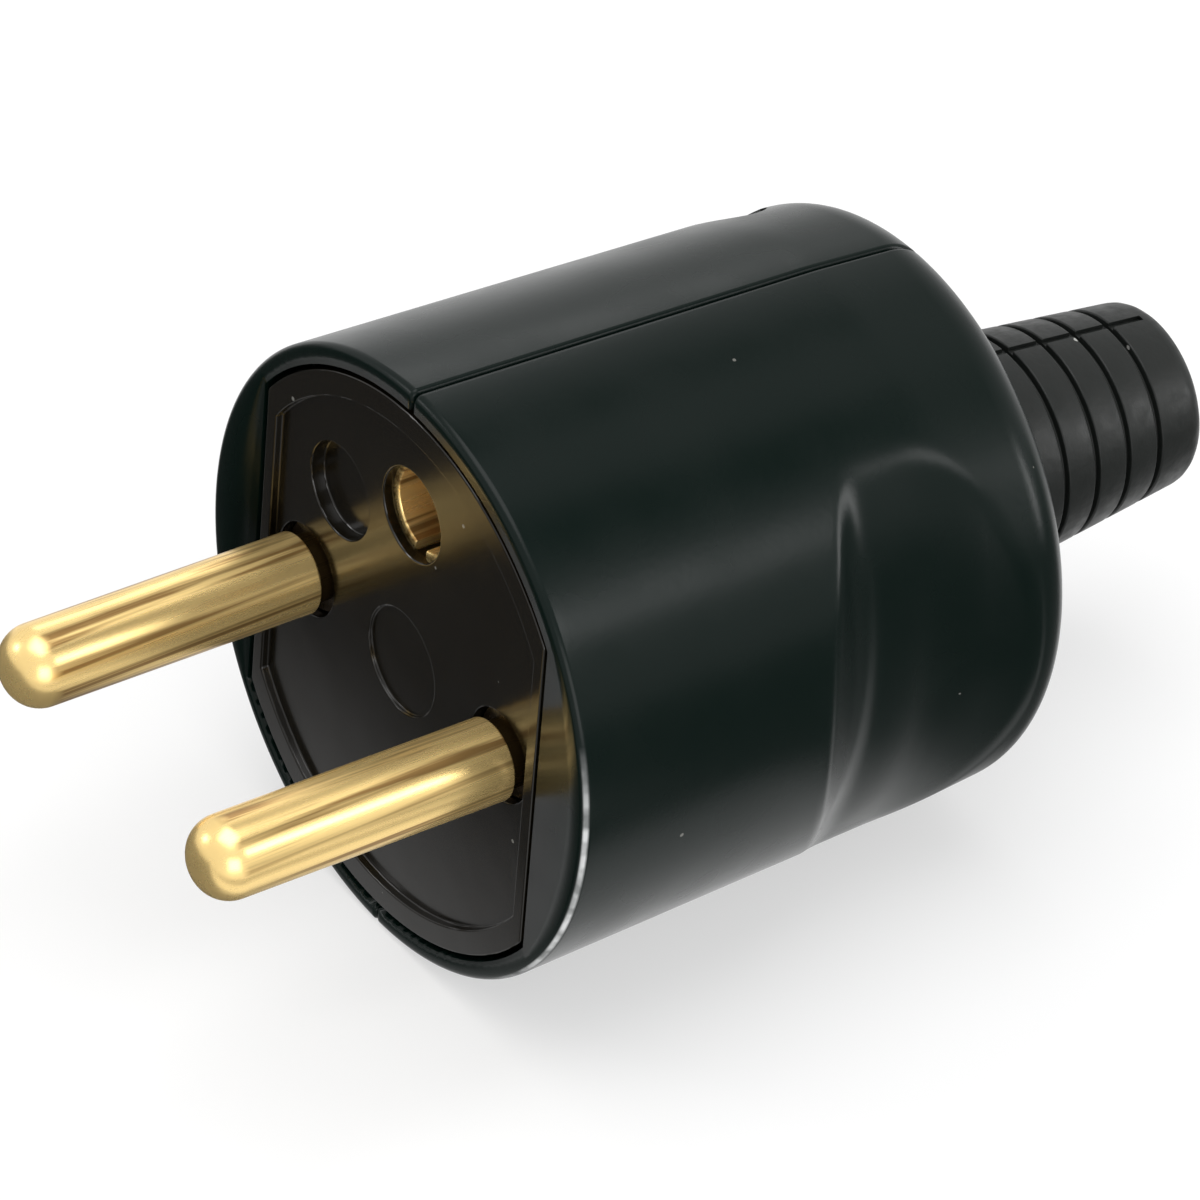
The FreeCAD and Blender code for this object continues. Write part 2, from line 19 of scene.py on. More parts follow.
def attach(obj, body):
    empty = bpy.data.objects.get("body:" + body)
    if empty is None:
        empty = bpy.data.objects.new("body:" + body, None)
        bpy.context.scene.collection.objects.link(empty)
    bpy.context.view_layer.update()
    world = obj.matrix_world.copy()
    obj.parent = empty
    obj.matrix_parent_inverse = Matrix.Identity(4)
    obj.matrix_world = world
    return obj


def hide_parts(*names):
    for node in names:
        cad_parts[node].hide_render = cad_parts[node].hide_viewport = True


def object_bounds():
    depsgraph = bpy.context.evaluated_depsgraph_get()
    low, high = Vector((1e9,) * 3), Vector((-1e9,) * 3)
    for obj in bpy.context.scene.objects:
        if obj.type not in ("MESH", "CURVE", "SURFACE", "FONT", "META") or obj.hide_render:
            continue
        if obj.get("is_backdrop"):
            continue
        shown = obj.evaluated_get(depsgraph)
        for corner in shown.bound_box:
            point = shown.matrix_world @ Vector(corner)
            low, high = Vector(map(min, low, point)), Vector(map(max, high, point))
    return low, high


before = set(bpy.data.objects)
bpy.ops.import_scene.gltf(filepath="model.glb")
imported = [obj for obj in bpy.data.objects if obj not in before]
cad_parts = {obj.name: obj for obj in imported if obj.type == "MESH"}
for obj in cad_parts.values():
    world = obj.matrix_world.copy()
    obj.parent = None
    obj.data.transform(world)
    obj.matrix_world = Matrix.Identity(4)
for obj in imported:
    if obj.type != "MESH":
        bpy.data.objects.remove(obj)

logging.basicConfig(level=logging.INFO, format="%(message)s")
log = logging.getLogger("plug")

MM = 0.001
NEAR = 0.01
PAST = 1.0
TAPER = math.atan(1.2 / 34.5)
BODY = "root"
SHARPEST_SMOOTH = math.radians(30)
LEAST_BEVELLED = math.radians(35)
Point = Tuple[float, float, float]
Pair = Tuple[float, float]
Corner = Tuple[float, ...]


class Side(Enum):
    """Side of the plug, seen from behind with the earth hole up."""

    LEFT = -1
    RIGHT = 1

    @property
    def word(self) -> str:
        """Name of the side as the pieces carry it."""
        return self.name.lower()


class Level(Enum):
    """Height of one of a pair of fasteners."""

    UPPER = 1
    LOWER = -1


# Modelling by hand


def start_clean() -> None:
    """Leaves edit mode and deselects everything."""
    if bpy.context.object and bpy.context.object.mode != "OBJECT":
        bpy.ops.object.mode_set(mode="OBJECT")
    bpy.ops.object.select_all(action="DESELECT")


def activate(piece: bpy.types.Object) -> None:
    """Makes a piece the only one selected.

    Args:
        piece: The object to work on.
    """
    start_clean()
    piece.select_set(True)
    bpy.context.view_layer.objects.active = piece


def metres(pair: Pair) -> Pair:
    """Two lengths brought from millimetres to metres."""
    return pair[0] * MM, pair[1] * MM


def rounded(corners: Sequence[Corner], turn: float = 9.0) -> List[Pair]:
    """Points along an open line whose corners may be rounded.

    Args:
        corners: Corners as (a, b) or (a, b, rounding).
        turn: Largest turn between two points of a rounding, in degrees.

    Returns:
        The points as (a, b).
    """
    points: List[Pair] = []
    for i, corner in enumerate(corners):
        here = Vector(corner[:2])
        if len(corner) < 3 or not corner[2]:
            points.append(tuple(here))
            continue
        before = (Vector(corners[i - 1][:2]) - here).normalized()
        after = (Vector(corners[i + 1][:2]) - here).normalized()
        half = before.angle(after) / 2
        reach = corner[2] / math.tan(half)
        centre = here + (before + after).normalized() * (corner[2] / math.sin(half))
        start, end = here + before * reach - centre, here + after * reach - centre
        sweep = start.angle_signed(end)
        count = max(2, math.ceil(math.degrees(abs(sweep)) / turn))
        for k in range(count + 1):
            angle = -sweep * k / count
            points.append(tuple(centre + Matrix.Rotation(angle, 2) @ start))
    return points


def divided(points: Sequence[Pair], spans: Sequence[Tuple[float, float, float]]) -> List[Pair]:
    """Adds points on the long runs of a line.

    Args:
        points: The line's points as (a, b).
        spans: For a from one value to the next, the longest step allowed.

    Returns:
        The line's points with the new ones between them.
    """
    made = [points[0]]
    for (a0, b0), (a1, b1) in zip(points, points[1:]):
        a = a0
        while True:
            step = next((s for low, high, s in spans if low <= a < high), math.inf)
            if a1 - a <= step * 1.5:
                break
            a += step
            made.append((a, b0 + (b1 - b0) * (a - a0) / (a1 - a0)))
        made.append((a1, b1))
    return made


def drawn_line(name: str, points: Sequence[Point]) -> bpy.types.Object:
    """Draws a line of vertices from one point to the next and stays in edit mode.

    Args:
        name: Name of the new piece.
        points: The places of the vertices.

    Returns:
        The new piece, all of it selected.
    """
    start_clean()
    bpy.ops.mesh.primitive_plane_add(size=1, enter_editmode=True)
    piece = bpy.context.object
    piece.name = piece.data.name = name
    bpy.ops.mesh.merge(type="CENTER")
    bpy.ops.transform.translate(value=points[0])
    for here, there in zip(points, points[1:]):
        step = [b - a for a, b in zip(here, there)]
        bpy.ops.mesh.extrude_vertices_move(TRANSFORM_OT_translate={"value": step})
    bpy.ops.mesh.select_all(action="SELECT")
    return piece


def turned(name: str, line: Sequence[Pair], steps: int, x: float = 0, z: float = 0) -> bpy.types.Object:
    """Spins a line of (y, radius) points about an axis along Y.

    Args:
        name: Name of the new piece.
        line: The points, from axis to axis, or closed on itself for a tube.
        steps: Number of steps round.
        x: Place of the axis across.
        z: Height of the axis.

    Returns:
        The new closed piece in object mode.
    """
    piece = drawn_line(name, [(x, y, z + r) for y, r in line])
    bpy.ops.mesh.spin(steps=steps, angle=2 * math.pi, center=(x, 0, z), axis=(0, 1, 0))
    bpy.ops.mesh.select_all(action="SELECT")
    bpy.ops.mesh.remove_doubles(threshold=1e-4)
    bpy.ops.mesh.normals_make_consistent(inside=False)
    bpy.ops.object.mode_set(mode="OBJECT")
    return piece


def raised(name: str, outline: Sequence[Point], depth: Point) -> bpy.types.Object:
    """Fills a closed outline and extrudes it.

    Args:
        name: Name of the new piece.
        outline: Corners of the outline in order.
        depth: The extrusion as a vector.

    Returns:
        The new closed piece in object mode.
    """
    piece = drawn_line(name, outline)
    bpy.ops.mesh.edge_face_add()
    bpy.ops.mesh.extrude_region_move(TRANSFORM_OT_translate={"value": depth})
    bpy.ops.mesh.select_all(action="SELECT")
    bpy.ops.mesh.normals_make_consistent(inside=False)
    bpy.ops.object.mode_set(mode="OBJECT")
    return piece


def rod(radius: float, start: Point, depth: Point, steps: int = 64) -> bpy.types.Object:
    """Round rod used as a cutter or as the start of a boss.

    Args:
        radius: Radius of the rod.
        start: Middle of its first end.
        depth: Its length as a vector.
        steps: Number of steps round.

    Returns:
        The new closed piece.
    """
    along = Vector(depth).normalized()
    side = along.orthogonal().normalized()
    third = along.cross(side)
    turn = [2 * math.pi * k / steps for k in range(steps)]
    outline = [tuple(Vector(start) + (side * math.cos(a) + third * math.sin(a)) * radius) for a in turn]
    return raised("cutter", outline, depth)


def double_d(name: str, radius: float, half_flat: float, y0: float, y1: float,
             steps: int = 80) -> bpy.types.Object:
    """Round disc with two flat sides.

    Args:
        name: Name of the new piece.
        radius: Radius of the round edge.
        half_flat: Distance of each flat from the middle.
        y0: Front of the disc.
        y1: Back of the disc.
        steps: Steps along each round edge.

    Returns:
        The new closed piece.
    """
    end = math.acos(half_flat / radius)
    arc = [end + (math.pi - 2 * end) * k / steps for k in range(steps + 1)]
    top = [(radius * math.cos(a), y0, radius * math.sin(a)) for a in arc]
    low = [(-x, y, -z) for x, y, z in top]
    return raised(name, top + low, (0, y1 - y0, 0))


def combine(piece: bpy.types.Object, tools: Sequence[bpy.types.Object],
            operation: str = "DIFFERENCE") -> None:
    """Cuts, joins or intersects a piece with tools, which are used up.

    Args:
        piece: The piece that stays.
        tools: The other pieces.
        operation: Kind of the boolean.
    """
    for tool in tools:
        activate(piece)
        modifier = piece.modifiers.new("combine", "BOOLEAN")
        modifier.operation = operation
        modifier.solver = "EXACT"
        modifier.object = tool
        bpy.ops.object.modifier_apply(modifier=modifier.name)
        bpy.data.meshes.remove(tool.data)


def soften(piece: bpy.types.Object, width: float, segments: int) -> None:
    """Bevels the sharp edges of a piece.

    Args:
        piece: The piece.
        width: Width of the bevel.
        segments: Number of facets across it.
    """
    activate(piece)
    modifier = piece.modifiers.new("soften", "BEVEL")
    modifier.width, modifier.segments = width, segments
    modifier.limit_method, modifier.angle_limit = "ANGLE", LEAST_BEVELLED
    modifier.use_clamp_overlap = False
    bpy.ops.object.modifier_apply(modifier=modifier.name)


def drop_slivers(piece: bpy.types.Object) -> None:
    """Takes out the slivers that a boolean leaves, because they spoil the normals beside them.

    Args:
        piece: The piece.
    """
    activate(piece)
    bpy.ops.object.mode_set(mode="EDIT")
    bpy.ops.mesh.select_all(action="SELECT")
    bpy.ops.mesh.dissolve_degenerate(threshold=NEAR)
    bpy.ops.object.mode_set(mode="OBJECT")


def level_normals(piece: bpy.types.Object) -> None:
    """Gives the large flat faces straight normals, so that only the roundings beside them shade.

    Args:
        piece: The piece, already shaded smooth.
    """
    modifier = piece.modifiers.new("level", "WEIGHTED_NORMAL")
    modifier.mode = "FACE_AREA"
    modifier.weight = 50
    modifier.keep_sharp = True
    bpy.ops.object.modifier_apply(modifier=modifier.name)


def settle(piece: bpy.types.Object, node: str, slot: str, finishes: "Finishes", flat: bool = False) -> None:
    """Lays a finished piece down, brings it to metres, dresses it and puts it in its node's place.

    Args:
        piece: The finished piece.
        node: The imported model's node that it stands for.
        slot: The record's material slot.
        finishes: The plug's finishes.
        flat: Whether its large flat faces get straight normals.
    """
    activate(piece)
    piece.name = piece.data.name = node + "_piece"
    piece.rotation_euler = (-TAPER, 0, 0)
    piece.scale = (MM, MM, MM)
    bpy.ops.object.transform_apply(location=True, rotation=True, scale=True)
    bpy.ops.object.shade_smooth_by_angle(angle=SHARPEST_SMOOTH)
    if flat:
        level_normals(piece)
    piece.data.materials.clear()
    piece.data.materials.append(finishes[slot])
    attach(piece, BODY)
    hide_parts(node)
    log.info("%s: %d faces", piece.name, len(piece.data.polygons))


# Shader groups


def new_group(name: str, inputs: Mapping[str, float],
              output: str) -> Tuple[bpy.types.NodeTree, bpy.types.Node, bpy.types.Node]:
    """Starts a shader group with named inputs and one output.

    Args:
        name: Name of the group.
        inputs: Its inputs with their usual values.
        output: Name of its output.

    Returns:
        The group, its input node and its output node.
    """
    group = bpy.data.node_groups.new(name, "ShaderNodeTree")
    for word, value in inputs.items():
        socket = group.interface.new_socket(word, in_out="INPUT", socket_type="NodeSocketFloat")
        socket.default_value = value
    group.interface.new_socket(output, in_out="OUTPUT", socket_type="NodeSocketFloat")
    return group, group.nodes.new("NodeGroupInput"), group.nodes.new("NodeGroupOutput")


class Surface:
    """Node tree of a material or group, with short ways to add nodes to it."""

    def __init__(self, tree: bpy.types.NodeTree) -> None:
        """Keeps the tree and adds the Object coordinates."""
        self.tree = tree
        self.place = tree.nodes.new("ShaderNodeTexCoord").outputs["Object"]

    def add(self, kind: str, inputs: Optional[Mapping[object, object]] = None,
            **settings: object) -> bpy.types.Node:
        """Adds a node.

        Args:
            kind: Type name of the node.
            inputs: Its inputs, each a value or the socket to link from.
            settings: Its own settings.

        Returns:
            The new node.
        """
        node = self.tree.nodes.new(kind)
        for word, value in settings.items():
            setattr(node, word, value)
        for word, value in (inputs or {}).items():
            if isinstance(value, bpy.types.NodeSocket):
                self.tree.links.new(value, node.inputs[word])
            else:
                node.inputs[word].default_value = value
        return node

    def math(self, operation: str, a: object, b: object = 0.0) -> bpy.types.NodeSocket:
        """Adds a Math node and returns its value."""
        return self.add("ShaderNodeMath", {0: a, 1: b}, operation=operation).outputs[0]

    def product(self, *shares: object) -> bpy.types.NodeSocket:
        """Values multiplied together.

        Args:
            shares: The values.

        Returns:
            Their product.
        """
        result = shares[0]
        for share in shares[1:]:
            result = self.math("MULTIPLY", result, share)
        return result

    def greatest(self, *shares: object) -> bpy.types.NodeSocket:
        """Greatest of several values.

        Args:
            shares: The values.

        Returns:
            The greatest.
        """
        result = shares[0]
        for share in shares[1:]:
            result = self.math("MAXIMUM", result, share)
        return result

    def mixed(self, share: object, first: object, second: object) -> bpy.types.NodeSocket:
        """Two colours mixed, each one given as a colour or the socket to link from.

        Args:
            share: Share of the second colour.
            first: The first colour.
            second: The second colour.

        Returns:
            The mixed colour.
        """
        whole = [(*c, 1) if isinstance(c, tuple) else c for c in (first, second)]
        node = self.add("ShaderNodeMix", {0: share, 6: whole[0], 7: whole[1]}, data_type="RGBA")
        return node.outputs[2]

    def noise(self, scale: object, detail: float, place: object = None) -> bpy.types.NodeSocket:
        """Noise from 0 to 1 on the Object coordinates."""
        inputs = {"Vector": place or self.place, "Scale": scale, "Detail": detail}
        return self.add("ShaderNodeTexNoise", inputs).outputs["Fac"]

    def bumped(self, height: object, distance: float) -> bpy.types.NodeSocket:
        """Normal bumped by a height that reaches some millimetres."""
        inputs = {"Strength": 1.0, "Distance": distance * MM, "Height": height}
        return self.add("ShaderNodeBump", inputs).outputs[0]

    def between(self, value: object, low: float, high: float, to_low: float = 0,
                to_high: float = 1) -> bpy.types.NodeSocket:
        """Value brought from one range to another and clamped."""
        inputs = {"Value": value, "From Min": low, "From Max": high, "To Min": to_low, "To Max": to_high}
        return self.add("ShaderNodeMapRange", inputs).outputs["Result"]

    def falling(self, value: object, low: float, high: float) -> bpy.types.NodeSocket:
        """Share that falls from 1 to 0 while a value goes from low to high."""
        return self.between(value, low, high, 1.0, 0.0)


def speck_group() -> bpy.types.NodeTree:
    """Scattered specks of dust, in a share of the cells.

    Returns:
        The group.
    """
    group, given, out = new_group("specks", {"Scale": 900.0, "Size": 0.08, "Share": 0.5}, "Mask")
    surface = Surface(group)
    cells = surface.add("ShaderNodeTexVoronoi", {"Vector": surface.place, "Scale": given.outputs["Scale"]})
    near = surface.math("LESS_THAN", cells.outputs["Distance"], given.outputs["Size"])
    tone = surface.add("ShaderNodeSeparateColor", {"Color": cells.outputs["Color"]})
    kept = surface.math("LESS_THAN", tone.outputs["Red"], given.outputs["Share"])
    group.links.new(surface.math("MULTIPLY", near, kept), out.inputs["Mask"])
    return group


def ripple_group() -> bpy.types.NodeTree:
    """Slow unevenness of a moulded skin with a fine grain on it.

    Returns:
        The group.
    """
    inputs = {"Waves": 60.0, "Grain": 2500.0, "Grain share": 0.05}
    group, given, out = new_group("moulded_skin", inputs, "Height")
    surface = Surface(group)
    waves = surface.noise(given.outputs["Waves"], 2.0)
    grain = surface.noise(given.outputs["Grain"], 4.0)
    share = surface.math("MULTIPLY", grain, given.outputs["Grain share"])
    group.links.new(surface.math("ADD", waves, share), out.inputs["Height"])
    return group


def streak_group() -> bpy.types.NodeTree:
    """Fine lines along Y, as drawing and turning leave them.

    Returns:
        The group.
    """
    group, given, out = new_group("drawn_lines", {"Scale": 700.0, "Length": 0.04}, "Lines")
    surface = Surface(group)
    scale = given.outputs["Scale"]
    along = surface.math("MULTIPLY", scale, given.outputs["Length"])
    scales = surface.add("ShaderNodeCombineXYZ", {0: scale, 1: along, 2: scale}).outputs[0]
    node = surface.add("ShaderNodeVectorMath", {0: surface.place, 1: scales}, operation="MULTIPLY")
    lines = surface.noise(1.0, 3.0, node.outputs[0])
    group.links.new(lines, out.inputs["Lines"])
    return group


# Finishes


class Finish:
    """Base of the finishes: starts a material with its Principled node."""

    name: str

    def begin(self) -> Tuple[bpy.types.Material, Surface, bpy.types.Node]:
        """Starts the material.

        Returns:
            The material, its node tree and its Principled node.
        """
        material = bpy.data.materials.new(self.name)
        material.use_nodes = True
        surface = Surface(material.node_tree)
        return material, surface, material.node_tree.nodes["Principled BSDF"]

    @staticmethod
    def group(surface: Surface, name: str, **inputs: float) -> bpy.types.NodeSocket:
        """Places a shader group and returns its output.

        Args:
            surface: The material's node tree.
            name: Name of the group.
            inputs: Values of its inputs.

        Returns:
            Its output.
        """
        node = surface.add("ShaderNodeGroup", node_tree=bpy.data.node_groups[name])
        for word, value in inputs.items():
            node.inputs[word].default_value = value
        return node.outputs[0]


@dataclass(frozen=True)
class MouldedPlastic(Finish):
    """Hard moulded plastic with a slow unevenness and a little dust."""

    name: str
    colour: Point
    roughness: float = 0.22
    roughness_spread: float = 0.08
    waves: float = 60.0
    relief: float = 0.1
    dust: float = 0.1
    dust_colour: Point = (0.12, 0.12, 0.11)
    reflection: float = 0.14

    def make(self) -> bpy.types.Material:
        """Builds the material.

        Returns:
            The material.
        """
        material, surface, shader = self.begin()
        shader.inputs["Specular IOR Level"].default_value = self.reflection
        cloud = surface.noise(180.0, 3.0)
        rough = surface.between(cloud, 0.3, 0.7, self.roughness, self.roughness + self.roughness_spread)
        specks = self.group(surface, "specks", Scale=450.0, Size=0.06, Share=self.dust)
        colour = surface.mixed(specks, self.colour, self.dust_colour)
        links = material.node_tree.links
        links.new(self.wear_and_painted_highlight(surface, colour), shader.inputs["Base Color"])
        links.new(rough, shader.inputs["Roughness"])
        height = self.group(surface, "moulded_skin", Waves=self.waves)
        links.new(surface.bumped(height, self.relief), shader.inputs["Normal"])
        return material

    def wear_and_painted_highlight(self, surface: Surface, colour: bpy.types.NodeSocket) -> bpy.types.NodeSocket:
        """Colour with its painted highlight, none on the plain plastic."""
        return colour


@dataclass(frozen=True)
class BodyPlastic(MouldedPlastic):
    """Body plastic whose front rim is rubbed pale on the right, where it meets the socket first.

    The painted highlight line fades between the two lengths of each pair.
    """

    # colour of the painted highlight line on the front right rim
    painted_rim_highlight: Point = (0.55, 0.56, 0.56)
    rim_radius: float = 18.3
    rim_slope: float = 0.6
    rim_width: Pair = (0.088, 0.22)
    rim_depth: Pair = (0.45, 0.7)
    rim_top: Pair = (1.0, 6.0)
    rim_low: Pair = (-15.0, -9.0)

    def wear_and_painted_highlight(self, surface: Surface, colour: bpy.types.NodeSocket) -> bpy.types.NodeSocket:
        """Colour with the painted highlight on the rim.

        Args:
            surface: The material's node tree.
            colour: Colour of the plastic.

        Returns:
            The colour with the painted highlight line in it.
        """
        straight = surface.add("ShaderNodeMapping", {"Vector": surface.place, "Rotation": (TAPER, 0, 0),
                                                     "Scale": (1 / MM, 1 / MM, 1 / MM)})
        place = surface.add("ShaderNodeSeparateXYZ", {0: straight.outputs[0]})
        x, y, z = place.outputs
        square = surface.math("ADD", surface.math("MULTIPLY", x, x), surface.math("MULTIPLY", z, z))
        inwards = surface.math("SUBTRACT", self.rim_radius, surface.math("SQRT", square))
        slant = surface.math("SUBTRACT", inwards, surface.math("MULTIPLY", y, self.rim_slope))
        edge = surface.falling(surface.math("ABSOLUTE", slant), *self.rim_width)
        front = surface.falling(y, *self.rim_depth)
        top = surface.falling(z, *self.rim_top)
        low = surface.between(z, *self.rim_low)
        right = surface.math("GREATER_THAN", x, 0.0)
        patchy = surface.between(surface.noise(700.0, 2.0), 0.35, 0.6, 0.35, 1.0)
        # painted highlight: a pale line along the front right rim, where the rounding catches the light
        painted_highlight_mask = surface.product(edge, front, top, low, right, patchy)
        return surface.mixed(painted_highlight_mask, colour, self.painted_rim_highlight)


@dataclass(frozen=True)
class TurnedBrass(Finish):
    """Polished brass, drawn and turned, with fine lines along it, whose dark colour also paints reflection
    bands.

    The painted shade on the neck and the light dome start and end over the pairs of millimetres along the
    pin.
    """

    name: str
    light: Point = (0.98, 0.71, 0.29)
    # dark of the drawn lines, partly real drawing marks and partly painted reflection bands along the pin
    dark_lines_and_painted_bands: Point = (0.36, 0.21, 0.07)
    # painted shade: the neck in the gap of the plate's bore is coloured dark as if in shadow
    painted_neck_shade: Point = (0.05, 0.03, 0.01)
    neck_start: Pair = (0.1, 0.25)
    neck_end: Pair = (1.25, 1.3)
    dome: Pair = (-16.6, -17.4)
    broad_share: float = 0.6
    tones: Pair = (0.42, 0.50)
    roughness: float = 0.24
    metal: float = 0.8
    relief: float = 0.006

    def make(self) -> bpy.types.Material:
        """Builds the material.

        Returns:
            The material.
        """
        material, surface, shader = self.begin()
        links = material.node_tree.links
        shader.inputs["Metallic"].default_value = self.metal
        broad = self.group(surface, "drawn_lines", Scale=1100.0, Length=0.012)
        fine = self.group(surface, "drawn_lines", Scale=2600.0, Length=0.006)
        lines = surface.math("ADD", surface.math("MULTIPLY", broad, self.broad_share),
                             surface.math("MULTIPLY", fine, 1 - self.broad_share))
        along = surface.add("ShaderNodeSeparateXYZ", {0: surface.place}).outputs[1]
        dome = surface.between(along, *metres(self.dome))
        # colour swings along the lines: drawing marks, with painted reflection bands of the lamps on top
        tone = surface.greatest(surface.between(lines, *self.tones), dome)
        neck_end = surface.falling(along, *metres(self.neck_end))
        # painted shade on the neck, just behind the face
        painted_neck_shade = surface.product(surface.between(along, *metres(self.neck_start)), neck_end)
        colour = surface.mixed(painted_neck_shade, surface.mixed(tone, self.dark_lines_and_painted_bands, self.light), self.painted_neck_shade)
        links.new(colour, shader.inputs["Base Color"])
        rough = surface.between(lines, 0.3, 0.7, self.roughness + 0.08, self.roughness)
        links.new(rough, shader.inputs["Roughness"])
        links.new(surface.bumped(lines, self.relief), shader.inputs["Normal"])
        return material


@dataclass(frozen=True)
class SatinRubber(Finish):
    """Satin black rubber with a fine grain and specks of dust."""

    name: str
    colour: Point = (0.008, 0.0095, 0.0085)
    roughness: float = 0.36
    reflection: float = 0.3
    relief: float = 0.03
    dust_colour: Point = (0.35, 0.35, 0.33)

    def make(self) -> bpy.types.Material:
        """Builds the material.

        Returns:
            The material.
        """
        material, surface, shader = self.begin()
        links = material.node_tree.links
        shader.inputs["Specular IOR Level"].default_value = self.reflection
        grain = surface.noise(1400.0, 4.0)
        rough = surface.between(grain, 0.3, 0.7, self.roughness, self.roughness + 0.15)
        links.new(rough, shader.inputs["Roughness"])
        specks = self.group(surface, "specks", Scale=600.0, Size=0.1, Share=0.35)
        links.new(surface.mixed(specks, self.colour, self.dust_colour), shader.inputs["Base Color"])
        links.new(surface.bumped(grain, self.relief), shader.inputs["Normal"])
        return material


@dataclass(frozen=True)
class PlatedSteel(Finish):
    """Zinc-plated steel with small turning marks."""

    name: str
    colour: Point = (0.62, 0.62, 0.60)
    roughness: float = 0.28
    relief: float = 0.01

    def make(self) -> bpy.types.Material:
        """Builds the material.

        Returns:
            The material.
        """
        material, surface, shader = self.begin()
        links = material.node_tree.links
        shader.inputs["Metallic"].default_value = 1.0
        cloud = surface.noise(1200.0, 4.0)
        wear_and_painted_highlight = tuple(c * 0.75 for c in self.colour)
        links.new(surface.mixed(cloud, wear_and_painted_highlight, self.colour), shader.inputs["Base Color"])
        rough = surface.between(cloud, 0.3, 0.7, self.roughness, self.roughness + 0.15)
        links.new(rough, shader.inputs["Roughness"])
        links.new(surface.bumped(cloud, self.relief), shader.inputs["Normal"])
        return material


@dataclass
class Finishes:
    """All finishes of the plug by the record's material slot."""

    made: Dict[str, bpy.types.Material] = field(default_factory=dict)

    def build(self) -> None:
        """Builds the shader groups and the materials."""
        speck_group()
        ripple_group()
        streak_group()
        self.made = {
            "body_plastic": BodyPlastic("black_body_plastic", (0.0014, 0.0054, 0.0041),
                                        reflection=0.17).make(),
            "plate_plastic": MouldedPlastic("black_plate_plastic", (0.0045, 0.0034, 0.0015), roughness=0.15,
                                            waves=140.0, relief=0.05, dust=0.25, reflection=0.45).make(),
            "block_plastic": MouldedPlastic("grey_block_plastic", (0.35, 0.34, 0.32), roughness=0.4,
                                            reflection=0.5).make(),
            "brass": TurnedBrass("polished_brass").make(),
            "steel": PlatedSteel("plated_steel").make(),
            "sleeve_rubber": SatinRubber("black_sleeve_rubber").make(),
        }

    def __getitem__(self, slot: str) -> bpy.types.Material:
        """Finish of a material slot."""
        return self.made[slot]


# Sub-assemblies


